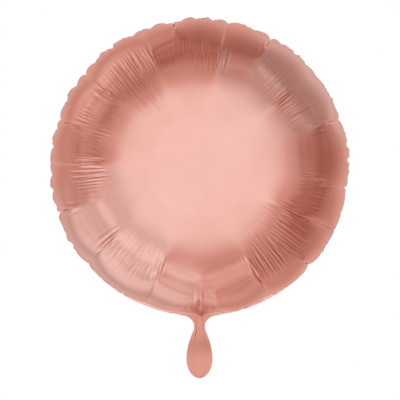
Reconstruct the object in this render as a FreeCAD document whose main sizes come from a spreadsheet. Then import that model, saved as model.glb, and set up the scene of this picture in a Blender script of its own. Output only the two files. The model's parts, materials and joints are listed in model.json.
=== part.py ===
import FreeCAD, Part
import math
import os

import Sketcher

# A round foil balloon of the 45 cm class, blown up. Two foil panels are welded to each other round
# the edge. At the bottom they run out into a narrow neck and a flat teardrop tail. A flat valve of
# two thin films lies between them there and reaches up into the gas space. A filling port is cut
# through the back foil of the tail.
#
# Frame: millimetres, +Z up, front towards -Y. The origin is the middle of the neck at its narrowest,
# where a ribbon is tied and where the tail folds. The weld lies in the plane Y = 0.
#
# Each foil is one sheet. It is cut here at the neck into a panel, a fold strip and a tail, because
# the tail folds on the panel. All films are far thicker than life, so that they are closed solids.

# The driving dimensions, in millimetres. A disc of film that can't stretch, cut with radius a inside
# its weld, blows up to a rim radius of 0.7627 a and a depth of 0.5991 rim radii on each side.
SIZES = {
    "rim_radius": 167.0,
    "half_depth": 100.0,
    "seam_width": 6.0,
    "foil": 0.5,
    "neck_half_width": 6.4,
    "shoulder_radius": 12.0,
    "fold_half_height": 1.2,
    "tail_half_width": 15.1,
    "tail_widest": 37.0,
    "tail_length": 59.2,
    "flank_start_handle": 3.0,
    "flank_end_handle": 18.0,
    "valve_film": 0.2,
    "valve_neck_half_width": 3.9,
    "valve_half_width": 13.0,
    "valve_flare_start": 21.0,
    "valve_flare_end": 30.0,
    "valve_top": 78.0,
    "valve_bottom": 18.0,
    "port_radius": 4.5,
    "port_drop": 32.0,
}
PROFILE_POINTS = 12
INTEGRAL_STEPS = 400
FRONT, BACK = -1, 1

doc = FreeCAD.newDocument("foil_balloon")
sheet = doc.addObject("Spreadsheet::Sheet", "Sizes")
for row, (alias, value) in enumerate(SIZES.items(), start=1):
    sheet.set(f"A{row}", alias)
    sheet.set(f"B{row}", str(value))
    sheet.setAlias(f"B{row}", alias)
doc.recompute()


def size(alias):
    """A driving dimension, read back from the sheet."""
    return float(sheet.get(alias))


# The weld's outer circle, and how far its centre stands above the origin: the shoulder arcs touch
# that circle and end at the top of the fold strip.
OUTER = size("rim_radius") + size("seam_width")
SHOULDER = size("shoulder_radius")
NECK_CENTRE = size("neck_half_width") + SHOULDER
RISE = math.sqrt((OUTER + SHOULDER) ** 2 - NECK_CENTRE**2) + size("fold_half_height")
RISE_TEXT = (
    "sqrt((Sizes.rim_radius + Sizes.seam_width + Sizes.shoulder_radius)^2"
    " - (Sizes.neck_half_width + Sizes.shoulder_radius)^2) * 1 mm + Sizes.fold_half_height * 1 mm"
)


def flat(x, y):
    """A point of a sketch."""
    return FreeCAD.Vector(x, y, 0)


def line(start, end):
    """A straight line of a sketch, between two (x, y) points."""
    return Part.LineSegment(flat(*start), flat(*end))


def dome_points(radius, depth):
    """Points (distance from the rim's plane, radius) of an inflated flat disc, from rim to pole.

    Where the meridian leans by psi, its radius is radius * sqrt(sin(psi)), and the depth is the
    integral of sqrt(sin(psi)), brought here to the depth that is asked for.
    """

    def run(psi):
        step = (math.pi / 2 - psi) / INTEGRAL_STEPS
        return step * sum(math.sqrt(math.sin(psi + (k + 0.5) * step)) for k in range(INTEGRAL_STEPS))

    leans = [math.pi / 2 * (1 - k / PROFILE_POINTS) ** 2 for k in range(PROFILE_POINTS + 1)]
    return [(depth * run(psi) / run(0.0), radius * math.sqrt(math.sin(psi))) for psi in leans]


def dome_curve(radius, depth, rim_at, side):
    """The dome's meridian as a smooth curve, from the rim, rim_at from the weld's plane, to the pole."""
    points = [flat(side * (rim_at + y), r) for y, r in dome_points(radius, depth)]
    curve = Part.BSplineCurve()
    curve.interpolate(Points=points, InitialTangent=flat(side, 0), FinalTangent=flat(0, -1))
    return curve


def new_body(label, height_text="0 mm"):
    """An empty body, standing at the height that the expression gives."""
    body = doc.addObject("PartDesign::Body", label)
    body.Label = label
    body.setExpression("Placement.Base.z", height_text)
    return body


def new_sketch(body, name, plane):
    """A sketch on one of the body's own origin planes."""
    sketch = body.newObject("Sketcher::SketchObject", name)
    sketch.AttachmentSupport = ([f for f in body.Origin.OriginFeatures if f.Role == plane][0], [""])
    sketch.MapMode = "FlatFace"
    return sketch


def draw(sketch, curves):
    """Adds curves that follow each other round a closed outline, and joins the ends that meet."""
    for curve in curves:
        sketch.addGeometry(curve, False)
    for k in range(len(curves)):
        after = (k + 1) % len(curves)
        pairs = [(a, b) for a in (1, 2) for b in (1, 2)]
        gaps = [sketch.getPoint(k, a).distanceToPoint(sketch.getPoint(after, b)) for a, b in pairs]
        a, b = pairs[gaps.index(min(gaps))]
        sketch.addConstraint(Sketcher.Constraint("Coincident", k, a, after, b))


def bind(sketch, kind, geometry, name, expression):
    """Gives a line's length or an arc's radius a name, and binds it to the sheet."""
    curve = sketch.Geometry[geometry]
    value = curve.Radius if kind == "Radius" else curve.StartPoint.distanceToPoint(curve.EndPoint)
    index = sketch.addConstraint(Sketcher.Constraint(kind, geometry, value))
    sketch.renameConstraint(index, name)
    sketch.setExpression(f"Constraints.{name}", expression)


def pad(body, sketch, name, side, expression):
    """Thickens a sketch on the XZ plane from Y = 0 towards the front or the back."""
    feature = body.newObject("PartDesign::Pad", name)
    feature.Profile = sketch
    feature.setExpression("Length", expression)
    feature.Reversed = side == BACK


def pocket(body, sketch, name, side, expression):
    """Sinks a sketch on the XZ plane from Y = 0 into the foil, and makes sure that it cut."""
    doc.recompute()
    before = body.Shape.Volume
    feature = body.newObject("PartDesign::Pocket", name)
    feature.Profile = sketch
    feature.setExpression("Length", expression)
    feature.Reversed = side == FRONT
    doc.recompute()
    if not body.Shape.Volume < before:
        raise RuntimeError(f"{body.Label}: {name} cut nothing")


def rectangle(half_width, low, high):
    """The four sides of an upright rectangle, bottom side first."""
    corners = [(-half_width, low), (half_width, low), (half_width, high), (-half_width, high)]
    return [line(corners[k], corners[(k + 1) % 4]) for k in range(4)]


def valve_channel(body, side, low, high):
    """The shallow channel in a foil's inner face that the valve lies in."""
    outline = new_sketch(body, "channel_outline", "XZ_Plane")
    draw(outline, rectangle(size("valve_neck_half_width"), low, high))
    bind(outline, "Distance", 0, "width", "2 * Sizes.valve_neck_half_width")
    pocket(body, outline, "valve_channel", side, "Sizes.valve_film")


def make_panel(label, side):
    """One foil panel: its dome, its half of the weld and its half of the upper neck."""
    body = new_body(label, RISE_TEXT)
    foil, rim, depth = size("foil"), size("rim_radius"), size("half_depth")

    # The dome with the weld: a closed outline that turns about the balloon's own axis.
    profile = new_sketch(body, "dome_outline", "YZ_Plane")
    outline = [
        dome_curve(rim, depth - foil, foil, side),
        line((side * depth, 0), (side * (depth - foil), 0)),
        dome_curve(rim - foil, depth - foil, 0.0, side),
        line((0, rim - foil), (0, OUTER)),
        line((0, OUTER), (side * foil, OUTER)),
        line((side * foil, OUTER), (side * foil, rim)),
    ]
    draw(profile, outline)
    bind(profile, "Distance", 4, "foil", "Sizes.foil")
    bind(profile, "Distance", 5, "seam", "Sizes.seam_width")
    dome = body.newObject("PartDesign::Revolution", "dome")
    dome.Profile = profile
    dome.ReferenceAxis = (profile, ["H_Axis"])
    dome.Angle = 360.0

    # The upper neck: its two shoulders are arcs that touch the weld's outer circle.
    low = size("fold_half_height") - RISE
    turn = math.acos((size("neck_half_width") + SHOULDER) / (OUTER + SHOULDER))
    half_low, half_high = size("neck_half_width"), OUTER * math.cos(turn)
    high = -OUTER * math.sin(turn)
    right = Part.Circle(flat(half_low + SHOULDER, low), FreeCAD.Vector(0, 0, 1), SHOULDER)
    left = Part.Circle(flat(-half_low - SHOULDER, low), FreeCAD.Vector(0, 0, 1), SHOULDER)
    neck = new_sketch(body, "neck_outline", "XZ_Plane")
    outline = [
        line((-half_low, low), (half_low, low)),
        Part.ArcOfCircle(right, math.pi - turn, math.pi),
        line((half_high, high), (-half_high, high)),
        Part.ArcOfCircle(left, 0.0, turn),
    ]
    draw(neck, outline)
    bind(neck, "Distance", 0, "width", "2 * Sizes.neck_half_width")
    pad(body, neck, "upper_neck", side, "Sizes.foil")
    valve_channel(body, side, low, 2 * foil - rim)
    return body


def make_fold(label, side):
    """The strip of foil, at the narrowest of the neck, that bends when the tail folds."""
    body = new_body(label)
    half_height = size("fold_half_height")
    outline = new_sketch(body, "strip_outline", "XZ_Plane")
    draw(outline, rectangle(size("neck_half_width"), -half_height, half_height))
    bind(outline, "Distance", 0, "width", "2 * Sizes.neck_half_width")
    bind(outline, "Distance", 1, "height", "2 * Sizes.fold_half_height")
    pad(body, outline, "strip", side, "Sizes.foil")
    valve_channel(body, side, -half_height, half_height)
    return body


def flank(way):
    """The tail's long edge on the side way, from the neck to the tail's widest place."""
    top, widest = -size("fold_half_height"), -size("tail_widest")
    start, end = way * size("neck_half_width"), way * size("tail_half_width")
    curve = Part.BezierCurve()
    curve.setPoles(
        [
            flat(start, top),
            flat(start, top - size("flank_start_handle")),
            flat(end, widest + size("flank_end_handle")),
            flat(end, widest),
        ]
    )
    return curve.toBSpline()


def make_tail(label, side):
    """One foil of the teardrop tail. The back one has the filling port."""
    body = new_body(label)
    top, half_neck = -size("fold_half_height"), size("neck_half_width")
    middle = flat(0, -size("tail_widest"))
    tip = flat(0, -size("tail_length"))
    round_end = Part.Ellipse(tip, flat(size("tail_half_width"), -size("tail_widest")), middle)
    outline = new_sketch(body, "tail_outline", "XZ_Plane")
    draw(
        outline,
        [
            line((half_neck, top), (-half_neck, top)),
            flank(-1),
            Part.ArcOfEllipse(round_end, -math.pi / 2, math.pi / 2),
            flank(1),
        ],
    )
    bind(outline, "Distance", 0, "width", "2 * Sizes.neck_half_width")
    pad(body, outline, "tail", side, "Sizes.foil")
    valve_channel(body, side, -size("valve_bottom"), top)
    if side == BACK:
        port = new_sketch(body, "port_outline", "XZ_Plane")
        centre = flat(0, -size("port_drop"))
        port.addGeometry(Part.Circle(centre, FreeCAD.Vector(0, 0, 1), size("port_radius")), False)
        bind(port, "Radius", 0, "radius", "Sizes.port_radius")
        pocket(body, port, "filling_port", side, "Sizes.foil")
    return body


def make_valve_film(label, side):
    """One film of the valve: narrow through the neck, wide inside the balloon."""
    body = new_body(label)
    narrow, wide = size("valve_neck_half_width"), size("valve_half_width")
    right = [
        (narrow, -size("valve_bottom")),
        (narrow, size("valve_flare_start")),
        (wide, size("valve_flare_end")),
        (wide, size("valve_top")),
    ]
    corners = right + [(-x, y) for x, y in reversed(right)]
    outline = new_sketch(body, "film_outline", "XZ_Plane")
    draw(outline, [line(corners[k], corners[(k + 1) % len(corners)]) for k in range(len(corners))])
    bind(outline, "Distance", 3, "width", "2 * Sizes.valve_half_width")
    pad(body, outline, "film", side, "Sizes.valve_film")
    return body


parts = [
    make_panel("front_panel", FRONT),
    make_panel("back_panel", BACK),
    make_fold("neck_fold_front", FRONT),
    make_fold("neck_fold_back", BACK),
    make_tail("tail_front", FRONT),
    make_tail("tail_back", BACK),
    make_valve_film("valve_film_front", FRONT),
    make_valve_film("valve_film_back", BACK),
]

doc.recompute()
for thing in doc.Objects:
    if "Invalid" in thing.State or "Error" in thing.State:
        raise RuntimeError(f"{thing.Label}: {thing.State}")
for part in parts:
    if part.Shape.isNull() or not part.Shape.isValid() or len(part.Shape.Solids) != 1:
        raise RuntimeError(f"{part.Label}: not one valid solid")

os.makedirs("parts", exist_ok=True)
for part in parts:
    part.Shape.exportStep(f"parts/{part.Label}.step")
    box = part.Shape.BoundBox
    reach = f"Y {box.YMin:.2f}..{box.YMax:.2f}, Z {box.ZMin:.2f}..{box.ZMax:.2f}"
    print(f"{part.Label}: {part.Shape.Volume:.0f} mm3, {reach}")
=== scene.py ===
import json
import math

import bmesh
import bpy
import numpy as np
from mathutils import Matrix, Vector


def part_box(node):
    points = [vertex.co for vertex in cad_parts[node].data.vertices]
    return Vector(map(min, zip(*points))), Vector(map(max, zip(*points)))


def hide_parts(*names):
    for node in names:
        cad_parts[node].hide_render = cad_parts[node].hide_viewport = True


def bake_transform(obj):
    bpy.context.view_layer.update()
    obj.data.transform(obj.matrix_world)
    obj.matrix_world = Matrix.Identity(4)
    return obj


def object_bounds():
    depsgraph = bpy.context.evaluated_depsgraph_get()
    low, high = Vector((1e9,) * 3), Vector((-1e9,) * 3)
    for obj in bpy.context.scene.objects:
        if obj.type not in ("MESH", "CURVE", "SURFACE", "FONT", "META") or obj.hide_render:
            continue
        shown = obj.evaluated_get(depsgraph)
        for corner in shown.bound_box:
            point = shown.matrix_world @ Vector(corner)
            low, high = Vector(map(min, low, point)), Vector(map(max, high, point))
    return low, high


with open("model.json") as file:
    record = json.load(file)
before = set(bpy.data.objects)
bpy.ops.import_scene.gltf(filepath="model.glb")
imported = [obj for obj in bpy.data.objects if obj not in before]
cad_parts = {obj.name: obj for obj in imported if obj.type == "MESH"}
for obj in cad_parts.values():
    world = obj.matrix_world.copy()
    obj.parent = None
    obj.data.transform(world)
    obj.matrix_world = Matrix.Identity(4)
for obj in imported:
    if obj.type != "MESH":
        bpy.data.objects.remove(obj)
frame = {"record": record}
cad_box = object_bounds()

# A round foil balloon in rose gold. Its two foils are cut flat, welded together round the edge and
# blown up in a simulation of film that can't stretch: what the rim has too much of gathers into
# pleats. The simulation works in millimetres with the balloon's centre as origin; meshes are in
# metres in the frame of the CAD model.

MM = 0.001
FULL_TURN = 2 * math.pi

# ---- Places and sizes that the CAD model settles, in millimetres ----

panel_low, panel_high = (np.array(corner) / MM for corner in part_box("front_panel"))
tail_low, tail_high = (np.array(corner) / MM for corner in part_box("tail_front"))
_, fold_high = (np.array(corner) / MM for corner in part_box("neck_fold_front"))
valve_low, valve_high = (np.array(corner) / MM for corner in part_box("valve_film_front"))
port = next(m for m in frame["record"]["mounts"] if m["name"] == "filling_port")

RIM_OUTSIDE = panel_high[0]
CENTRE_HEIGHT = panel_high[2] - RIM_OUTSIDE
NECK_HALF = fold_high[0]
FOLD_HALF_HEIGHT = fold_high[2]
SHOULDER_RADIUS = 12.0
TAIL_HALF = tail_high[0]
TAIL_WIDEST = -37.0
TAIL_TIP = tail_low[2]
PORT_HEIGHT = port["pos_m"][2] / MM
PORT_RADIUS = port["dims"]["r_mm"]

# ---- How the foil is cut and where it pleats ----

CUT_RADIUS = 225.0
WELD_WIDTH = 3.0
WELD_RADIUS = CUT_RADIUS - WELD_WIDTH
# An inflated flat disc's radius, as a part of its flat radius.
INFLATED = 0.76275
# Inside this flat radius the film isn't simulated.
SMOOTH_RADIUS = 40.0
# The rim can't be drawn in further than this, except at a pleat.
RIM_RADIUS = 167.5
PLEAT_WIDTH = 5.0
# How much thinner the balloon gets at each pleat's rim, and in each step beside it.
PLEAT_FLATTER = 0.9
DENT, DENT_LENGTH = 0.03, 60.0
# The margin is stiffer round the rim than the foils are; the foils are softer along the radius.
MARGIN_STIFFER = 2.0
ALONG_SOFTER = 0.3
LAYERS_APART = 0.3
DEEP, SHALLOW = 156.0, 162.0
# Each pleat: its angle in degrees, anticlockwise from +X as the front shows it, and how far from
# the centre its notch in the rim lies. The angles were read off the photograph.
PLEATS = [
    (-6.8, DEEP), (18.6, SHALLOW), (38.8, DEEP), (60.7, SHALLOW), (79.2, DEEP), (99.8, SHALLOW),
    (113.1, DEEP), (140.9, DEEP), (161.0, SHALLOW), (179.0, DEEP), (198.2, SHALLOW), (220.3, DEEP),
    (249.1, DEEP), (262.6, SHALLOW), (277.0, SHALLOW), (297.7, DEEP), (317.0, SHALLOW), (334.6, DEEP),
]
NECK_ANGLE = math.radians(270)
NECK_SPREAD = math.radians(6.0)
NECK_RIM = 165.0


def eased(t):
    """A smooth step: 0 up to t = 0, 1 from t = 1."""
    t = np.clip(t, 0, 1)
    return t * t * (3 - 2 * t)


def inflated_profile(points=2000):
    """For an inflated flat disc: flat radius, radius and depth, from the middle to the weld."""
    rim = INFLATED * WELD_RADIUS
    root = np.linspace(1e-4, math.sqrt(math.pi / 2), points)
    spread = np.sqrt(np.sin(root**2))

    def summed(rate):
        return np.concatenate([[0.0], np.cumsum((rate[1:] + rate[:-1]) / 2 * np.diff(root))])

    depth = summed(rim * root * spread)
    return summed(rim * root / spread), rim * spread, depth[-1] - depth


PROFILE_FLAT, PROFILE_RADIUS, PROFILE_DEPTH = inflated_profile()


def side_by_side(a, b):
    """How far apart two angles are, from -pi to pi."""
    return (a - b + math.pi) % FULL_TURN - math.pi


def rolled(array, columns):
    return np.roll(array, columns, axis=1)


class Film:
    """A ring of film as points [row, column, xyz]; the columns go round and close."""

    def __init__(self, points, flat_radii):
        self.points = points
        self.before = points.copy()
        self.flat = flat_radii
        self.columns = points.shape[1]
        half = math.pi / self.columns
        a, b = flat_radii[:-1], flat_radii[1:]
        self.around = (2 * flat_radii * math.sin(half))[:, None]
        self.along = np.abs(b - a)[:, None]
        self.across = np.sqrt((b - a) ** 2 + 4 * a * b * math.sin(half) ** 2)[:, None]

    @staticmethod
    def correction(first, second, length, strength):
        """Half the move that brings two sets of points to their distance in the flat film."""
        gap = second - first
        now = np.sqrt(np.einsum("...k,...k->...", gap, gap)) + 1e-9
        return gap * (strength * 0.5 * (now - length) / now)[..., None]

    def keep_around(self):
        p = self.points
        move = self.correction(p[:, 0::2], p[:, 1::2], self.around, 1.0)
        p[:, 0::2] += move
        p[:, 1::2] -= move
        move = self.correction(p[:, 1::2], rolled(p[:, 0::2], -1), self.around, 1.0)
        p[:, 1::2] += move
        p[:, 0::2] -= rolled(move, 1)

    def keep_along(self):
        p = self.points
        for start in (0, 1):
            a, b = slice(start, len(p) - 1, 2), slice(start + 1, len(p), 2)
            move = self.correction(p[a], p[b], self.along[start::2], 1.0)
            p[a] += move
            p[b] -= move

    def keep_across(self, strength=0.6):
        p = self.points
        for turn in (1, -1):
            for start in (0, 1):
                a, b = slice(start, len(p) - 1, 2), slice(start + 1, len(p), 2)
                move = self.correction(p[a], rolled(p[b], -turn), self.across[start::2], strength)
                p[a] += move
                p[b] -= rolled(move, turn)

    def straighten(self, around, along):
        """The film's resistance to bending."""
        p = self.points
        bend = rolled(p, 1) - 2 * p + rolled(p, -1)
        bend -= bend.mean(axis=1, keepdims=True)
        p -= around * (rolled(bend, 1) - 2 * bend + rolled(bend, -1))
        bend = along * (p[:-2] - 2 * p[1:-1] + p[2:])
        p[:-2] -= bend
        p[1:-1] += 2 * bend
        p[2:] -= bend

    def push(self):
        """How much further the gas pushes each point than one of flat film."""
        p = self.points
        down = np.gradient(p, axis=0)
        round_it = (rolled(p, -1) - rolled(p, 1)) / 2
        area = self.around * np.abs(np.gradient(self.spacing()))[:, None]
        return np.cross(down, round_it) / area[..., None]

    def spacing(self):
        return np.concatenate([[0.0], np.cumsum(self.along[:, 0])])

    def coast(self, keep, top_speed=0.8):
        """Carries on with the last step's motion, less damping."""
        speed = (self.points - self.before) * keep
        size = np.sqrt((speed**2).sum(axis=-1, keepdims=True))
        speed *= np.minimum(1.0, top_speed / (size + 1e-9))
        self.before[:] = self.points
        self.points += speed

    def refined(self):
        """The same film with twice as many rows and columns, on smooth curves."""
        p = self.points
        wide = np.empty((p.shape[0], 2 * p.shape[1], 3))
        wide[:, 0::2] = p
        wide[:, 1::2] = (9 * (p + rolled(p, -1)) - (rolled(p, 1) + rolled(p, -2))) / 16
        middle = (wide[:-1] + wide[1:]) / 2
        middle[1:-1] = (9 * (wide[1:-2] + wide[2:-1]) - (wide[:-3] + wide[3:])) / 16
        fine = np.empty((2 * len(wide) - 1, wide.shape[1], 3))
        fine[0::2], fine[1::2] = wide, middle
        flat = np.empty(len(fine))
        flat[0::2], flat[1::2] = self.flat, (self.flat[:-1] + self.flat[1:]) / 2
        return Film(fine, flat)


class Balloon:
    """Both foils as one strip of film, from the front's middle over the weld to the back's, and the
    margin outside the weld."""

    def __init__(self, columns, rows, margin_rows=4):
        front = np.linspace(SMOOTH_RADIUS, WELD_RADIUS, rows)
        flat = np.concatenate([front, front[-2::-1]])
        side = np.sign(np.arange(len(flat)) - (rows - 1.0))
        angle = np.arange(columns) * FULL_TURN / columns
        ripple = self.ripple(columns)
        points = self.rings(flat, angle)
        near_weld = np.exp(-np.abs(flat - WELD_RADIUS) / 25.0)[:, None]
        points[..., 1] = 0.5 * side[:, None] + near_weld * ripple
        self.foils = Film(points, flat)
        flat = np.linspace(WELD_RADIUS, CUT_RADIUS, margin_rows)
        points = self.rings(flat, angle)
        points[..., 1] = ripple
        self.margin = Film(points, flat)

    @staticmethod
    def rings(radii, angle):
        points = np.zeros((len(radii), len(angle), 3))
        points[..., 0] = radii[:, None] * np.cos(angle)
        points[..., 2] = radii[:, None] * np.sin(angle)
        return points

    @staticmethod
    def ripple(columns):
        """The weld's first slight unevenness, which decides where its small ruffles form."""
        noise = np.random.default_rng(3).normal(size=columns)
        reach, width = 12, 1.2
        kernel = np.exp(-0.5 * (np.arange(-reach, reach + 1) / width) ** 2)
        wrapped = np.concatenate([noise[-reach:], noise, noise[:reach]])
        smooth = np.convolve(wrapped, kernel, "same")[reach:-reach]
        return 0.5 * smooth / smooth.std()

    def refine(self):
        self.foils, self.margin = self.foils.refined(), self.margin.refined()

    def hold_middle(self, grown):
        """Places the innermost rows, round the middle that the simulation leaves out."""
        p = self.foils.points
        angle = np.arange(self.foils.columns) * FULL_TURN / self.foils.columns
        radius = np.interp(SMOOTH_RADIUS, PROFILE_FLAT, PROFILE_RADIUS)
        radius = SMOOTH_RADIUS + (radius - SMOOTH_RADIUS) * grown
        depth = np.interp(SMOOTH_RADIUS, PROFILE_FLAT, PROFILE_DEPTH) * math.sqrt(grown)
        for row, side in ((0, -1), (-1, 1)):
            y = np.full(len(angle), side * depth)
            p[row] = np.stack([radius * np.cos(angle), y, radius * np.sin(angle)], 1)

    def hold_rim(self, grown):
        """Draws the rim in as the balloon fills, deeper at each pleat, and presses the pleats in."""
        foils, margin = self.foils, self.margin
        columns = foils.columns
        angle = np.arange(columns) * FULL_TURN / columns
        least = np.full(columns, RIM_RADIUS)
        for degrees, notch in PLEATS:
            off = side_by_side(angle, math.radians(degrees)) * RIM_RADIUS / PLEAT_WIDTH
            least = np.minimum(least, RIM_RADIUS - (RIM_RADIUS - notch) * np.exp(-(off**2)))
        least = WELD_RADIUS + (least - WELD_RADIUS) * grown
        at_pleat = np.array([round(degrees / 360 * columns) % columns for degrees, _ in PLEATS])
        middle = len(foils.flat) // 2
        rim = foils.points[middle]
        radius = np.hypot(rim[:, 0], rim[:, 2])
        wanted = np.maximum(radius, least)
        wanted[at_pleat] = least[at_pleat]
        rim[:, 0::2] *= (wanted / radius)[:, None]
        rim[at_pleat, 1] *= PLEAT_FLATTER
        if grown < 0.99:
            dent = DENT * np.exp(-(((foils.flat - WELD_RADIUS) / DENT_LENGTH) ** 2))
            foils.points[:, at_pleat, 1] *= 1 - dent[:, None]
        # At the neck the weld lies flat, because the neck and tail hang from it.
        at_neck = np.flatnonzero(np.abs(side_by_side(angle, NECK_ANGLE)) <= NECK_SPREAD + 1e-6)
        flat_rim = WELD_RADIUS + (NECK_RIM - WELD_RADIUS) * grown
        for row, radius in enumerate(margin.flat - WELD_RADIUS + flat_rim):
            spots = angle[at_neck]
            place = np.stack([radius * np.cos(spots), 0 * spots, radius * np.sin(spots)], 1)
            margin.points[row, at_neck] = place
        rim[at_neck] = margin.points[0, at_neck]

    def step(self, grown, pressure, stiffness, keep):
        foils, margin = self.foils, self.margin
        middle = len(foils.flat) // 2
        push = foils.push()
        foils.coast(keep)
        margin.coast(keep)
        foils.points += pressure * push
        self.hold_middle(grown)
        foils.keep_across()
        foils.keep_along()
        foils.keep_around()
        foils.keep_along()
        margin.points[0] = foils.points[middle]
        margin.keep_across()
        margin.keep_around()
        margin.keep_along()
        margin.straighten(MARGIN_STIFFER * stiffness, stiffness)
        foils.points[middle] = margin.points[0]
        foils.straighten(stiffness, ALONG_SOFTER * stiffness)
        self.hold_middle(grown)
        self.hold_rim(grown)
        # The front foil stays in front of the back one.
        front, back = foils.points[:middle, :, 1], foils.points[:middle:-1, :, 1]
        through = np.maximum(0.0, front - back + LAYERS_APART) / 2
        front -= through
        back += through


def blow_up(columns, rows, steps, fine_steps):
    """Fills the balloon from flat, then settles it once more with twice as many rows and columns."""
    balloon = Balloon(columns, rows)
    for k in range(steps):
        done = k / steps
        ease = 1.0 if done < 0.35 else max(0.1, 1 - (done - 0.35) / 0.3)
        balloon.step(min(1.0, 2 * done), pressure=0.02 * ease, stiffness=0.003, keep=0.985)
    balloon.refine()
    for k in range(fine_steps):
        balloon.step(1.0, pressure=0.001, stiffness=0.002, keep=0.97)
    return balloon


# ---- From the simulated film to meshes ----

# The neck: how far each foil stands from the plane Y = 0 in its middle, and the weld's width.
NECK_GAP = 0.7
NECK_WELD = 1.4
# How far a welded layer lies from the weld's middle.
FILM_APART = 0.06
# Inside this flat radius a mesh has only every second column, and inside the simulated film it has
# this many rings.
FINE_FROM = 105.0
MIDDLE_RINGS = 7
# The foil follows the ideal shape inside the first flat radius and the simulation outside the second.
CALM_FROM, CALM_TO = 52.0, 92.0
# The rim's mean outline lies this far inside the CAD model's, because its lobes reach past it.
INSET = 0.6
MARGIN_WIDTH = 3.9
LOBES = 63
LOBE_HEIGHT = 3.0
# This share of the margin's width turns backwards.
LIES_BACK = 0.85
# Folds above the neck are pressed out to this distance from the weld, fading over the second.
PRESSED_OUT, PRESSED_FADE = 46.0, 26.0
CREASE_DEPTH = 1.3
CREASE_WIDTH = 1.3
DEEP_CREASE, SHALLOW_CREASE = 62.0, 40.0
WRINKLE_LENGTH = 4.3
WRINKLE_HEIGHT = 0.44
# Patches of fine wrinkles: middle angle and half width in degrees, inner and outer radius, strength.
# They lie roughly where the photograph shows them.
WRINKLE_PATCHES = [
    (127, 12, 74, 156, 1.0), (160, 8, 100, 152, 0.9), (186, 7, 96, 150, 0.6),
    (90, 11, 108, 152, 0.6), (45, 13, 98, 152, 0.25), (28, 6, 108, 152, 0.6),
    (347, 8, 100, 156, 0.7), (322, 9, 90, 156, 0.9), (307, 7, 90, 156, 1.0),
    (233, 8, 90, 154, 0.6), (271, 4.5, 134, 160, 0.7),
]
# The tail: its weld's width, how much its middle puffs up, and how many rows of mesh each part has.
TAIL_WELD = 2.6
TAIL_PUFF = 0.1
SHOULDER_ROWS, FOLD_ROWS, FLANK_ROWS, END_ROWS = 22, 9, 50, 24
# The heights that pull on the curve of the tail's sides.
FLANK_PULLS = -4.2, -19.0
# The tail bows by TAIL_BEND from BOW_FROM below the fold over BOW_OVER, leans the other way by
# TAIL_LEAN for each millimetre past LEAN_FROM, and its edges curl.
TAIL_BEND, TAIL_LEAN = 2.2, 0.055
BOW_FROM, BOW_OVER = 9.0, 20.0
LEAN_FROM = 3.0
EDGE_CURL = 0.0015
# The valve: its half width in the neck, the height up to which its rows lie close, and from where
# and over what height it widens and comes loose from the foils.
VALVE_NECK = 3.9
VALVE_FINE = 4.0
WIDENS_FROM, WIDENS_OVER = 24.0, 12.0
LOOSE_FROM, LOOSE_OVER = 30.0, 25.0
VALVE_APART = 0.09


class Shell:
    """Collects the rings and rows of one piece of film, and makes a smooth mesh of them in metres."""

    def __init__(self, side):
        self.side = side
        self.corners, self.faces, self.count = [], [], 0

    def place(self, points):
        """Adds points in millimetres and returns their numbers."""
        points = np.asarray(points, float).reshape(-1, 3)
        self.corners.append(points)
        self.count += len(points)
        return np.arange(self.count - len(points), self.count)

    def face(self, *corners):
        """Adds faces from arrays of corner numbers, wound so that the front's look towards -Y."""
        found = np.stack(corners, axis=1)
        self.faces += (found if self.side < 0 else found[:, ::-1]).tolist()

    def strip(self, inner, outer, closed=True):
        """Faces between two rows of the same length, or from a ring to one with twice its points."""
        if closed:
            inner, outer = np.append(inner, inner[0]), np.append(outer, outer[0])
        if len(inner) == len(outer):
            self.face(inner[:-1], outer[:-1], outer[1:], inner[1:])
            return
        self.face(inner[:-1], outer[:-1:2], outer[1::2])
        self.face(inner[:-1], outer[1::2], inner[1:])
        self.face(inner[1:], outer[1::2], outer[2::2])

    def fan(self, ring, centre):
        self.face(np.full(len(ring), centre), ring, np.roll(ring, -1))

    def finished(self, name):
        mesh = bpy.data.meshes.new(name)
        places = np.concatenate(self.corners) * MM
        mesh.from_pydata(places.tolist(), [], self.faces)
        mesh.validate()
        mesh.shade_smooth()
        mesh.update()
        piece = bpy.data.objects.new(name, mesh)
        bpy.context.scene.collection.objects.link(piece)
        return piece


def lifted(points):
    """From the simulation's origin, the balloon's centre, to the CAD model's."""
    return points + np.array([0.0, 0.0, CENTRE_HEIGHT])


def flat_width(columns, half_angle):
    """How many columns lie within that angle either side of the neck."""
    return int(half_angle / FULL_TURN * columns + 1e-6)


def neck_gap(x):
    """How far each foil stands from the plane Y = 0 in the neck, where the valve lies between them."""
    return NECK_GAP * np.maximum(0.0, 1 - (x / (NECK_HALF - NECK_WELD)) ** 2)


def fitted(balloon):
    """The simulated points, scaled to the CAD model's width and depth, with a finer rim."""
    outer = balloon.margin.points[-1]
    wide = (RIM_OUTSIDE - INSET) / np.hypot(outer[:, 0], outer[:, 2]).mean()
    film, flat = balloon.foils.points, balloon.foils.flat
    sample = int(np.argmin(np.abs(flat[: len(flat) // 2] - CALM_TO)))
    lift = -film[sample, :, 1].mean() - np.interp(flat[sample], PROFILE_FLAT, PROFILE_DEPTH)
    scale = np.array([wide, -panel_low[1] / (PROFILE_DEPTH[0] + lift), wide])
    film, margin = film * scale, balloon.margin.points * scale
    shape_rim(film, margin, flat)
    return film, margin, scale, lift


def column_angles(points):
    return np.arange(points.shape[1]) * FULL_TURN / points.shape[1]


def arc_weight(angle, middle, half, soft):
    """1 on an arc of the rim, 0 off it; all in degrees but the angles."""
    off = np.degrees(np.abs(side_by_side(angle, math.radians(middle))))
    return eased((half + soft / 2 - off) / soft)


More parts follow.
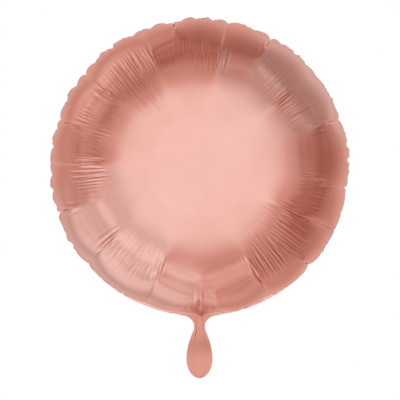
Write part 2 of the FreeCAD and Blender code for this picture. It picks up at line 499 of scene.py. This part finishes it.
def shape_rim(film, margin, flat):
    """Small round lobes between the pleats, and a margin that lies back except at the bottom."""
    angle = column_angles(film)
    radial = np.stack([np.cos(angle), 0 * angle, np.sin(angle)], axis=1)
    neck = arc_weight(angle, 270, 10, 6)
    bottom = arc_weight(angle, 268, 42, 24)

    uneven = angle + 0.022 * np.sin(7 * angle + 1) + 0.013 * np.sin(13 * angle)
    lobe = np.abs(np.sin(LOBES / 2 * uneven)) ** 0.8 - 0.62
    height = LOBE_HEIGHT * (0.3 + 0.7 * arc_weight(angle, 130, 75, 60)) * (1 - bottom) * lobe
    near = np.exp(-(((flat - WELD_RADIUS) / 11.0) ** 2))
    film += near[:, None, None] * (height[:, None] * radial)[None]
    margin += (height[:, None] * radial)[None]

    # The bottom is flat and nearly round, and folds above the neck are pressed out.
    middle = len(film) // 2
    pressed = eased((PRESSED_OUT - np.abs(flat - WELD_RADIUS)) / PRESSED_FADE)
    near_neck = neck[None, :, None] * pressed[:, None, None]
    film += near_neck * (smoothed_around(film, 15) - film)
    x = RIM_OUTSIDE * np.cos(angle)
    dip = 5.0 * np.exp(-np.abs(x - 1.8) / 5.0 - ((x - 1.8) / 12.0) ** 2)
    weld = RIM_OUTSIDE - MARGIN_WIDTH + neck * (dip - 0.7)
    settled = np.maximum(0.85 * bottom, neck)[:, None]
    move = settled * (weld[:, None] * radial - film[middle])
    film += np.exp(-np.abs(flat - WELD_RADIUS) / 12.0)[:, None, None] * move[None]
    steps = np.linspace(0, 1, len(margin))[:, None]
    flat_margin = (weld + (RIM_OUTSIDE - weld) * steps)[..., None] * radial
    offset = margin - margin[0]
    out = np.maximum(0.0, (offset * radial).sum(axis=-1))
    offset -= (LIES_BACK * out)[..., None] * radial
    offset[..., 1] += LIES_BACK * out
    margin[:] = film[middle] + offset + settled * (flat_margin - film[middle] - offset)


def smoothed_around(points, reach):
    """Averages along each ring."""
    weights = np.exp(-0.5 * (np.arange(-2 * reach, 2 * reach + 1) / reach) ** 2)
    turns = range(-2 * reach, 2 * reach + 1)
    return sum(weight * rolled(points, turn) for weight, turn in zip(weights / weights.sum(), turns))


def crease_pleats(rows, flat, side):
    """Sharp creases along the pleats and fine wrinkles between them, pressed into one foil."""
    angle = column_angles(rows)
    down, round_it = np.gradient(rows, axis=0), (rolled(rows, -1) - rolled(rows, 1)) / 2
    normal = -side * np.cross(down, round_it)
    normal /= np.linalg.norm(normal, axis=-1, keepdims=True) + 1e-9
    radius = np.hypot(rows[..., 0], rows[..., 2])
    from_rim = WELD_RADIUS - flat
    height = np.zeros(radius.shape)
    for degrees, notch in PLEATS:
        if abs(degrees - 270) < 10:
            continue
        deep = notch == DEEP
        length = DEEP_CREASE if deep else SHALLOW_CREASE
        across = side_by_side(angle, math.radians(degrees)) * radius
        fade = np.clip(1 - from_rim / length, 0, 1)[:, None]
        fade = np.minimum(1, 1.5 * fade)
        ridges = np.exp(-(((np.abs(across) - 2.7) / CREASE_WIDTH) ** 2))
        groove = np.exp(-((across / CREASE_WIDTH) ** 2)) - 0.5 * ridges
        height -= CREASE_DEPTH * (1.0 if deep else 0.5) * fade * groove
    for degrees, half, inner, outer, amount in WRINKLE_PATCHES:
        off = side_by_side(angle, math.radians(degrees))
        across = radius * np.sin(off)
        ragged = inner + 9 * np.sin(1.1 * across + degrees)
        reach = np.clip((radius - ragged) / 16, 0, 1) * np.clip((outer - radius) / 7, 0, 1)
        spread = np.exp(-1.2 * (off / math.radians(half)) ** 2) * (np.abs(off) < 1.2)
        wave = np.sin(FULL_TURN * across / WRINKLE_LENGTH + 1.4 * np.sin(across / 3.3 + degrees))
        wave *= 0.65 + 0.35 * np.sin(0.83 * across + 2.0 * degrees)
        height += WRINKLE_HEIGHT * amount * spread * reach * wave
    rows += height[..., None] * normal


def calm_middle(rows, flat, side, scale, lift):
    """Near the middle the foil is smooth: it follows the ideal shape there."""
    keep = eased((flat - CALM_FROM) / (CALM_TO - CALM_FROM))[:, None, None]
    angle = column_angles(rows)
    wide = np.interp(flat, PROFILE_FLAT, PROFILE_RADIUS)[:, None]
    deep = lift + np.interp(flat, PROFILE_FLAT, PROFILE_DEPTH)[:, None]
    ideal = [wide * np.cos(angle), side * deep + 0 * angle, wide * np.sin(angle)]
    ideal = np.stack(ideal, axis=-1) * scale
    rows[:] = ideal + (rows - ideal) * keep


def foil_shell(balloon, side):
    """One foil: its domed panel, its margin outside the weld, its neck and its tail."""
    film, margin, scale, lift = fitted(balloon)
    middle = len(film) // 2
    rows = film[: middle + 1].copy() if side < 0 else film[: middle - 1 : -1].copy()
    margin = margin.copy()
    flat = balloon.foils.flat[: middle + 1]
    columns = rows.shape[1]
    calm_middle(rows, flat, side, scale, lift)
    crease_pleats(rows[:-1], flat[:-1], side)

    # The two layers of the welded margin lie a hair apart.
    down, round_it = np.gradient(margin, axis=0), (rolled(margin, -1) - rolled(margin, 1)) / 2
    normal = np.cross(down, round_it)
    normal /= np.linalg.norm(normal, axis=-1, keepdims=True)
    margin -= side * FILM_APART * normal
    rows[-1] = margin[0]
    for part in (rows, margin):
        near_neck = (np.abs(part[..., 0]) < NECK_HALF) & (part[..., 2] < 0)
        gap = neck_gap(part[..., 0][near_neck]) + FILM_APART
        part[..., 1][near_neck] = side * np.maximum(side * part[..., 1][near_neck], gap)

    shell = Shell(side)
    rings = []
    for k, radius in enumerate(flat):
        coarse = radius < FINE_FROM
        rings.append(shell.place(lifted(rows[k, :: 2 if coarse else 1])))
    for inner, outer in zip(rings, rings[1:]):
        shell.strip(inner, outer)

    # The smooth middle, which needs ever fewer points round.
    ring, count = rings[0], columns // 2
    inside = np.linspace(SMOOTH_RADIUS, 0, MIDDLE_RINGS + 2)[1:-1]
    for radius in inside:
        if radius < SMOOTH_RADIUS * count / (columns // 2) * 0.75:
            count //= 2
        angle = np.arange(count) * FULL_TURN / count
        wide = np.interp(radius, PROFILE_FLAT, PROFILE_RADIUS)
        deep = lift + np.interp(radius, PROFILE_FLAT, PROFILE_DEPTH)
        y = np.full(count, side * deep)
        spots = np.stack([wide * np.cos(angle), y, wide * np.sin(angle)], 1)
        inner = shell.place(lifted(spots * scale))
        shell.strip(inner, ring)
        ring = inner
    tip = shell.place(lifted(np.array([[0, side * (PROFILE_DEPTH[0] + lift), 0]]) * scale))
    shell.fan(ring, tip[0])

    # The margin outside the weld, then the neck and tail from its stretch at the bottom.
    before = rings[-1]
    for row in margin[1:]:
        ring = shell.place(lifted(row))
        shell.strip(before, ring)
        before = ring
    half = flat_width(columns, NECK_SPREAD)
    bottom = round(columns * 0.75)
    top_row = before[bottom - half : bottom + half + 1]
    tail_rows(shell, top_row, lifted(margin[-1, bottom - half : bottom + half + 1]))
    return shell


def bezier(a, b, c, d, t):
    return (1 - t) ** 3 * a + 3 * t * (1 - t) ** 2 * b + 3 * t**2 * (1 - t) * c + t**3 * d


def tail_outline(top_half, top_height):
    """The neck and tail's half widths and heights, from the shoulders down to the tail's tip."""
    start = math.asin(min(0.97, (top_height - FOLD_HALF_HEIGHT) / SHOULDER_RADIUS))
    turn = np.linspace(start, 0, SHOULDER_ROWS)
    shoulder = [
        NECK_HALF + (top_half - NECK_HALF) * (1 - np.cos(turn)) / (1 - math.cos(start)),
        FOLD_HALF_HEIGHT + (top_height - FOLD_HALF_HEIGHT) * np.sin(turn) / math.sin(start),
    ]
    # Close rows where the tail folds, so that the fold stays round and the valve stays inside.
    through_fold = np.linspace(FOLD_HALF_HEIGHT, -FOLD_HALF_HEIGHT, FOLD_ROWS + 2)[1:-1]
    fold = [np.full(FOLD_ROWS, NECK_HALF), through_fold]
    t = np.linspace(0, 1, FLANK_ROWS)
    flank = [
        bezier(NECK_HALF, NECK_HALF, TAIL_HALF, TAIL_HALF, t),
        bezier(-FOLD_HALF_HEIGHT, *FLANK_PULLS, TAIL_WIDEST, t),
    ]
    turn = np.linspace(0, math.pi / 2, END_ROWS + 2)[1:-1]
    end = [TAIL_HALF * np.cos(turn), TAIL_WIDEST + (TAIL_TIP - TAIL_WIDEST) * np.sin(turn)]
    parts = [np.array(part) for part in (shoulder, fold, flank, end)]
    return np.concatenate(parts, axis=1)[:, 1:]


def tail_rows(shell, top_row, top_points):
    """The neck and tail of one foil, hung from the margin's stretch at the bottom."""
    side = shell.side
    across = np.linspace(-1, 1, len(top_row))
    top_half, top_height = top_points[-1, 0], top_points[-1, 2]
    sag = top_points[:, 2] - top_height
    widths, heights = tail_outline(top_half, top_height)
    before = top_row
    for half, height in zip(widths, heights):
        x = half * across
        above_fold = (height - FOLD_HALF_HEIGHT) / (top_height - FOLD_HALF_HEIGHT)
        z = height + sag * max(0.0, above_fold)
        inner = half - min(TAIL_WELD, 0.23 * half)
        if height > 0:
            inner = min(inner, NECK_HALF - NECK_WELD)
        puff = np.maximum(0.0, 1 - (x / inner) ** 2)
        below = min(1.0, max(0.0, -height / 30.0))
        fullness = NECK_GAP + TAIL_PUFF * below * min(1.0, half / TAIL_HALF)
        streaks = tail_streaks(x, height, half) * np.minimum(1, 3 * puff)
        depth = FILM_APART + fullness * puff ** (1 + below) + streaks
        row = shell.place(np.stack([x, side * depth + tail_sway(x, height), z], axis=1))
        shell.strip(before, row, closed=False)
        before = row
    tip = shell.place([[0.0, side * FILM_APART + tail_sway(0, TAIL_TIP), TAIL_TIP]])
    shell.face(before[:-1], np.full(len(before) - 1, tip[0]), before[1:])


def tail_sway(x, height):
    """The tail bows back and forth a little below the neck, and its edges curl back."""
    t = min(1.0, max(0.0, (-height - BOW_FROM) / BOW_OVER))
    bow = TAIL_BEND * t * t * (3 - 2 * t) - TAIL_LEAN * max(0.0, -height - LEAN_FROM)
    return bow + EDGE_CURL * x**2 * t


def tail_streaks(x, height, half):
    """Gathers that fan out from the tied neck, more of them on the left."""
    strength = 0.2 * math.exp(-(((height + 6) / 11.0) ** 2))
    spread = x / half
    left = 0.35 + 0.65 / (1 + np.exp(6 * spread))
    return strength * left * (np.sin(15 * spread + 1.3) + 0.5 * np.sin(27 * spread + 0.4))


def cut_port(piece):
    """The round filling port in the back foil of the tail."""
    mesh = bmesh.new()
    mesh.from_mesh(piece.data)
    centre, radius = np.array([0.0, PORT_HEIGHT]) * MM, PORT_RADIUS * MM

    def off(place):
        return np.array([place.x, place.z]) - centre

    inside = [f for f in mesh.faces if np.hypot(*off(f.calc_center_median())) < radius]
    bmesh.ops.delete(mesh, geom=inside, context="FACES")
    # The hole's ragged edge goes onto the circle.
    for corner in mesh.verts:
        gap = off(corner.co)
        if corner.is_boundary and np.hypot(*gap) < 1.4 * radius:
            corner.co.x, corner.co.z = centre + gap * radius / np.hypot(*gap)
    mesh.to_mesh(piece.data)
    mesh.free()


def valve_shell(side):
    """One film of the flat valve: a narrow channel in the neck that flares inside the balloon."""
    shell = Shell(side)
    wide = valve_high[0]
    upper = np.linspace(valve_high[2], VALVE_FINE, 75)
    through_fold = np.linspace(VALVE_FINE, -VALVE_FINE, 33)[1:-1]
    lower = np.linspace(-VALVE_FINE, valve_low[2], 15)
    heights = np.concatenate([upper, through_fold, lower])
    across = np.linspace(-1, 1, 25)
    before = None
    for height in heights:
        flare = min(1.0, max(0.0, (height - WIDENS_FROM) / WIDENS_OVER))
        half = VALVE_NECK + (wide - VALVE_NECK) * flare * flare * (3 - 2 * flare)
        x = half * across
        opened = min(1.0, max(0.0, (height - LOOSE_FROM) / LOOSE_OVER))
        loose = 1.1 * opened * (1 - across**2)
        wave = 0.5 * opened * np.sin(height / 5.5 + 2.0 * across)
        depth = side * (VALVE_APART + loose) + wave + tail_sway(x, height)
        row = shell.place(np.stack([x, depth, np.full(len(x), height)], axis=1))
        if before is not None:
            shell.strip(before, row, closed=False)
        before = row
    return shell


# ---- Materials ----


class Nodes:
    """A short way to build a node tree."""

    def __init__(self, tree):
        self.tree = tree

    def add(self, kind, inputs=(), **settings):
        node = self.tree.nodes.new(kind)
        for name, value in settings.items():
            setattr(node, name, value)
        for key, value in dict(inputs).items():
            if isinstance(value, bpy.types.NodeSocket):
                self.tree.links.new(value, node.inputs[key])
            else:
                node.inputs[key].default_value = value
        return node

    def math(self, operation, *values, clamp=False):
        inputs = dict(enumerate(values))
        node = self.add("ShaderNodeMath", inputs, operation=operation, use_clamp=clamp)
        return node.outputs[0]

    def vector(self, operation, *values):
        """A calculation with vectors; LENGTH gives a number."""
        node = self.add("ShaderNodeVectorMath", dict(enumerate(values)), operation=operation)
        return node.outputs["Value" if operation == "LENGTH" else 0]

    def noise(self, place, scale, detail):
        inputs = {"Vector": place, "Scale": scale, "Detail": detail}
        return self.add("ShaderNodeTexNoise", inputs).outputs[0]

    def toned(self, share, colour, tone):
        """A colour that is multiplied by a tone, in that share."""
        inputs = {0: share, 6: colour, 7: (*tone, 1)}
        mix = self.add("ShaderNodeMix", inputs, data_type="RGBA", blend_type="MULTIPLY")
        return mix.outputs[2]

    def link(self, value, socket):
        self.tree.links.new(value, socket)

    def ramp(self, value, stops):
        """A ramp through (position, colour) stops; a colour may be one grey number."""
        node = self.add("ShaderNodeValToRGB", {0: value})
        places = node.color_ramp.elements
        while len(places) < len(stops):
            places.new(0.5)
        for element, (place, colour) in zip(places, stops):
            element.position = place
            element.color = (*((colour,) * 3 if isinstance(colour, float) else colour), 1)
        return node.outputs[0]

    def smooth(self, value, low, high):
        inputs = {0: value, 1: low, 2: high}
        node = self.add("ShaderNodeMapRange", inputs, interpolation_type="SMOOTHSTEP")
        return node.outputs[0]


def new_material(name):
    material = bpy.data.materials.new(name)
    material.use_nodes = True
    shader = material.node_tree.nodes["Principled BSDF"]
    return material, Nodes(material.node_tree), shader


FOIL_COLOUR = (0.95, 0.555, 0.49)
FOIL_DEEPER = (0.93, 0.535, 0.47)
# The next two darken the foil's base colour: painted shade on the neck and tail, and a darker painted
# band below the fold.
TAIL_PAINTED_SHADE = (0.80, 0.63, 0.57)
BAND_PAINTED_SHADE = (0.85, 0.80, 0.79)
# The fine wrinkles' spacing and length, in millimetres.
STREAK_WIDTH, STREAK_LENGTH = 2.6, 60.0


def foil_material():
    """Rose-gold metallised film: satin, faintly uneven, finely wrinkled along the radius."""
    material, nodes, shader = new_material("rose_gold_foil")
    shader.inputs["Metallic"].default_value = 1.0
    place = nodes.add("ShaderNodeTexCoord").outputs["Object"]
    wrinkles = nodes.add("ShaderNodeAttribute", attribute_name="wrinkles").outputs["Fac"]

    mottle = nodes.noise(place, scale=60.0, detail=3.0)
    colour = nodes.ramp(mottle, [(0.3, FOIL_DEEPER), (0.7, FOIL_COLOUR)])
    # Painted shade: the base colour is darker on the neck and tail than on the panels, and darker
    # still in a band below the fold, a painted reflection of the tail's curve. Neither is the film's
    # own colour.
    height = nodes.add("ShaderNodeSeparateXYZ", {0: place}).outputs["Z"]
    below = nodes.math("MULTIPLY", height, -1.0)
    colour = nodes.toned(nodes.smooth(below, -0.021, -0.010), colour, TAIL_PAINTED_SHADE)
    # Painted shade: the darker band below the fold.
    painted_shade_band_end = nodes.smooth(below, 0.022, 0.040)
    painted_shade_band = nodes.math("SUBTRACT", nodes.smooth(below, 0.004, 0.020), painted_shade_band_end)
    nodes.link(nodes.toned(painted_shade_band, colour, BAND_PAINTED_SHADE), shader.inputs["Base Color"])
    satin = nodes.ramp(mottle, [(0.25, 0.095), (0.75, 0.135)])
    # Rougher just above the neck, to soften mirror images of the tail and shoulders that the
    # photograph doesn't show.
    from_neck = nodes.vector("SUBTRACT", place, (0.0, 0.0, 0.020))
    from_neck = nodes.vector("LENGTH", nodes.vector("MULTIPLY", from_neck, (0.5, 0.0, 1.0)))
    near_neck = nodes.math("SUBTRACT", 1.0, nodes.smooth(from_neck, 0.004, 0.018))
    rougher = nodes.math("MULTIPLY", near_neck, 0.30)
    nodes.link(nodes.math("ADD", satin, rougher), shader.inputs["Roughness"])

    # Directions from the balloon's middle, stretched far along the radius, make wrinkles radial.
    centre = (0.0, 0.0, -CENTRE_HEIGHT * MM)
    spoke = nodes.vector("MULTIPLY", nodes.vector("ADD", place, centre), (1.0, 0.0, 1.0))
    along = nodes.math("MULTIPLY", nodes.vector("LENGTH", spoke), 1 / (STREAK_LENGTH * MM))
    around = {0: nodes.vector("NORMALIZE", spoke), "Scale": RIM_RADIUS / STREAK_WIDTH}
    around = nodes.add("ShaderNodeVectorMath", around, operation="SCALE").outputs[0]
    around = nodes.add("ShaderNodeSeparateXYZ", {0: around})
    streaked = {0: around.outputs[0], 1: along, 2: around.outputs[2]}
    streaked = nodes.add("ShaderNodeCombineXYZ", streaked).outputs[0]
    height = nodes.math("MULTIPLY", nodes.noise(streaked, scale=1.0, detail=1.0), wrinkles)
    crinkle = nodes.noise(place, scale=220.0, detail=2.0)
    height = nodes.math("MULTIPLY_ADD", crinkle, 0.006, height)
    bump = nodes.add("ShaderNodeBump", {"Height": height, "Strength": 1.0, "Distance": 0.0011})
    nodes.link(bump.outputs[0], shader.inputs["Normal"])
    return material


def valve_material():
    """Clear polyethylene film, slightly cloudy."""
    material, nodes, shader = new_material("clear_film")
    place = nodes.add("ShaderNodeTexCoord").outputs["Object"]
    cloud = nodes.noise(place, scale=240.0, detail=4.0)
    colour = nodes.ramp(cloud, [(0.3, (0.82, 0.84, 0.85)), (0.7, (0.93, 0.94, 0.94))])
    nodes.link(colour, shader.inputs["Base Color"])
    dull = nodes.ramp(cloud, [(0.3, 0.22), (0.7, 0.38)])
    nodes.link(dull, shader.inputs["Roughness"])
    bump = nodes.add("ShaderNodeBump", {"Height": cloud, "Strength": 0.4, "Distance": 0.0002})
    nodes.link(bump.outputs[0], shader.inputs["Normal"])
    shader.inputs["Transmission Weight"].default_value = 0.7
    shader.inputs["IOR"].default_value = 1.5
    return material


def mark_wrinkles(piece):
    """Writes how strongly each point of a foil is wrinkled."""
    count = len(piece.data.vertices)
    places = np.empty(count * 3, np.float32)
    piece.data.vertices.foreach_get("co", places)
    x, _, z = places.reshape(-1, 3).T / MM
    z = z - CENTRE_HEIGHT
    angle, radius = np.arctan2(z, x), np.hypot(x, z)
    strength = np.full(count, 0.04)
    for degrees, half, inner, outer, amount in WRINKLE_PATCHES:
        off = side_by_side(angle, math.radians(degrees)) / math.radians(half)
        reach = np.clip((radius - inner) / 18, 0, 1) * np.clip((outer - radius) / 10, 0, 1)
        strength += amount * np.exp(-(off**2) * 1.2) * reach
    attribute = piece.data.attributes.new("wrinkles", "FLOAT", "POINT")
    attribute.data.foreach_set("value", np.minimum(strength, 1.0).astype(np.float32))


# ---- The pieces ----

balloon = blow_up(columns=480, rows=49, steps=1000, fine_steps=200)

foil = foil_material()
film = valve_material()

for word, side in (("front", -1), ("back", 1)):
    piece = foil_shell(balloon, side).finished(f"{word}_foil")
    if side > 0:
        cut_port(piece)
    mark_wrinkles(piece)
    piece.data.materials.append(foil)
    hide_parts(f"{word}_panel", f"neck_fold_{word}", f"tail_{word}")
    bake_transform(piece)

    valve = valve_shell(side).finished(f"valve_{word}")
    valve.data.materials.append(film)
    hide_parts(f"valve_film_{word}")
    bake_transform(valve)


# ---- Studio ----

# The light's brightness straight in front of the balloon, at its sides and behind it, and the
# degrees off the camera's axis between which each gives way to the next.
FRONT, SIDES, BACKDROP = 0.98, 0.40, 0.70
FRONT_TO_SIDES, SIDES_TO_BACKDROP = (8, 78), (92, 150)
# Soft panels round the balloon: direction round the axis and half width, where it begins and ends
# off the axis, all in degrees, and the brightness it adds or, as a flag, takes away.
PANELS = {
    "reflector_lower_left": (225, 60, 35, 130, 0.50),
    "reflector_below": (280, 50, 45, 130, 0.30),
    "card_upper_left": (138, 45, 58, 130, 0.40),
    "card_upper_right": (45, 45, 50, 90, 0.26),
    "flag_above": (125, 75, 24, 55, -0.08),
}
PANEL_SOFT = 24.0
# How uneven the sides are, and where off the axis that begins and ends.
UNEVEN = 0.7
UNEVEN_BEGINS, UNEVEN_ENDS = (36, 63), (97.2, 104.4)
# The dim parts are warm. In these directions round the axis, within this reach, they are more
# neutral, except behind.
BLACK, WHITE = (0.0, 0.0, 0.0), (1.0, 1.0, 1.0)
WARM = [
    (0.0, BLACK), (0.4, (0.40, 0.19, 0.15)), (0.7, (0.70, 0.48, 0.42)), (1.0, (1.0, 0.97, 0.96)),
]
NEUTRAL = [(0.0, BLACK), (0.5, (0.50, 0.39, 0.36)), (1.0, WHITE)]
NEUTRAL_SIDES = (40, 40), (226, 50)
NEUTRAL_ENDS = (133.2, 162)
FLOOR_RADIUS, FLOOR_HEIGHT = 6.0, -0.95
# The picture is this many times as high as the model. Its middle lies a little right of and below
# the model's, in metres.
CAMERA_AWAY = 3.0
FRAMED = 1.1123
AIM_RIGHT, AIM_DOWN = 0.0006, 0.002


def studio_world():
    """A broad soft light in front, warm darker sides with soft panels, pale behind. This is what
    the balloon reflects; the camera sees plain white."""
    world = bpy.data.worlds.new("studio")
    bpy.context.scene.world = world
    world.use_nodes = True
    world.node_tree.nodes.clear()
    nodes = Nodes(world.node_tree)
    direction = nodes.add("ShaderNodeTexCoord").outputs["Generated"]
    x, y, z = nodes.add("ShaderNodeSeparateXYZ", {0: direction}).outputs
    off_axis = nodes.math("ARCCOSINE", nodes.math("MULTIPLY", y, -1.0))
    off_axis = nodes.math("DIVIDE", off_axis, math.pi)
    azimuth = nodes.math("DEGREES", nodes.math("ARCTAN2", z, x))

    def facing(degrees, reach):
        """1 towards that direction round the axis, falling to 0 at reach degrees to either side."""
        off = nodes.math("WRAP", nodes.math("SUBTRACT", azimuth, float(degrees)), 180.0, -180.0)
        off = nodes.math("DIVIDE", nodes.math("ABSOLUTE", off), float(reach))
        return nodes.math("SUBTRACT", 1.0, off, clamp=True)

    def rise(begin, end):
        """0 up to the first of two angles off the axis, 1 from the second, in degrees."""
        return nodes.smooth(off_axis, begin / 180, end / 180)

    brightness = nodes.math("MULTIPLY_ADD", rise(*FRONT_TO_SIDES), SIDES - FRONT, FRONT)
    behind = rise(*SIDES_TO_BACKDROP)
    brightness = nodes.math("MULTIPLY_ADD", behind, BACKDROP - SIDES, brightness)
    for degrees, half_width, inner, outer, adds in PANELS.values():
        begins, ends = rise(inner, inner + PANEL_SOFT), rise(outer - PANEL_SOFT, outer)
        within = nodes.math("SUBTRACT", begins, ends)
        share = nodes.math("MULTIPLY", facing(degrees, half_width), within)
        brightness = nodes.math("MULTIPLY_ADD", share, adds, brightness)
    uneven = nodes.math("SUBTRACT", nodes.noise(direction, scale=5.0, detail=1.0), 0.5)
    uneven = nodes.math("MULTIPLY", uneven, UNEVEN)
    sideways = nodes.math("SUBTRACT", 1.0, rise(*UNEVEN_ENDS))
    sideways = nodes.math("MULTIPLY", rise(*UNEVEN_BEGINS), sideways)
    uneven = nodes.math("MULTIPLY", uneven, sideways)
    brightness = nodes.math("MULTIPLY", brightness, nodes.math("ADD", uneven, 1.0))

    neutral = nodes.math("MAXIMUM", *(facing(*side) for side in NEUTRAL_SIDES))
    in_front = nodes.math("SUBTRACT", 1.0, rise(*NEUTRAL_ENDS))
    neutral = nodes.smooth(nodes.math("MULTIPLY", neutral, in_front), 0.0, 0.7)
    tint = {0: neutral, 6: nodes.ramp(brightness, WARM), 7: nodes.ramp(brightness, NEUTRAL)}
    tint = nodes.add("ShaderNodeMix", tint, data_type="RGBA").outputs[2]
    seen = nodes.add("ShaderNodeBackground", {0: (*WHITE, 1.0)}).outputs[0]
    lit = nodes.add("ShaderNodeBackground", {0: tint}).outputs[0]
    camera_ray = nodes.add("ShaderNodeLightPath").outputs["Is Camera Ray"]
    mix = nodes.add("ShaderNodeMixShader", {0: camera_ray, 1: lit, 2: seen}).outputs[0]
    nodes.add("ShaderNodeOutputWorld", {0: mix})


def floor():
    """A plain pale floor, too far down for the camera to see, and left out of reflections."""
    mesh = bpy.data.meshes.new("floor")
    turn = np.arange(96) * FULL_TURN / 96
    ring = [(FLOOR_RADIUS * math.cos(a), FLOOR_RADIUS * math.sin(a), FLOOR_HEIGHT) for a in turn]
    mesh.from_pydata(ring, [], [list(range(len(ring)))])
    piece = bpy.data.objects.new("floor", mesh)
    bpy.context.scene.collection.objects.link(piece)
    material, nodes, shader = new_material("pale_floor")
    # The colour makes up for the warm light.
    shader.inputs["Base Color"].default_value = (0.30, 0.42, 0.46, 1)
    shader.inputs["Roughness"].default_value = 0.9
    shader.inputs["Emission Color"].default_value = (1, 0.99, 0.98, 1)
    shader.inputs["Emission Strength"].default_value = 0.68
    mesh.materials.append(material)
    piece.visible_glossy = False


def camera():
    """Straight in front, at the height of the balloon's middle."""
    low, high = cad_box
    view = bpy.data.cameras.new("camera")
    view.sensor_width = 36
    view.lens = view.sensor_width * CAMERA_AWAY / (FRAMED * (high[2] - low[2]))
    eye = bpy.data.objects.new("camera", view)
    eye.location = (AIM_RIGHT, -CAMERA_AWAY, (low[2] + high[2]) / 2 - AIM_DOWN)
    eye.rotation_euler = (math.pi / 2, 0, 0)
    bpy.context.scene.collection.objects.link(eye)
    bpy.context.scene.camera = eye


studio_world()
floor()
camera()
bpy.context.scene.view_settings.view_transform = "Standard"
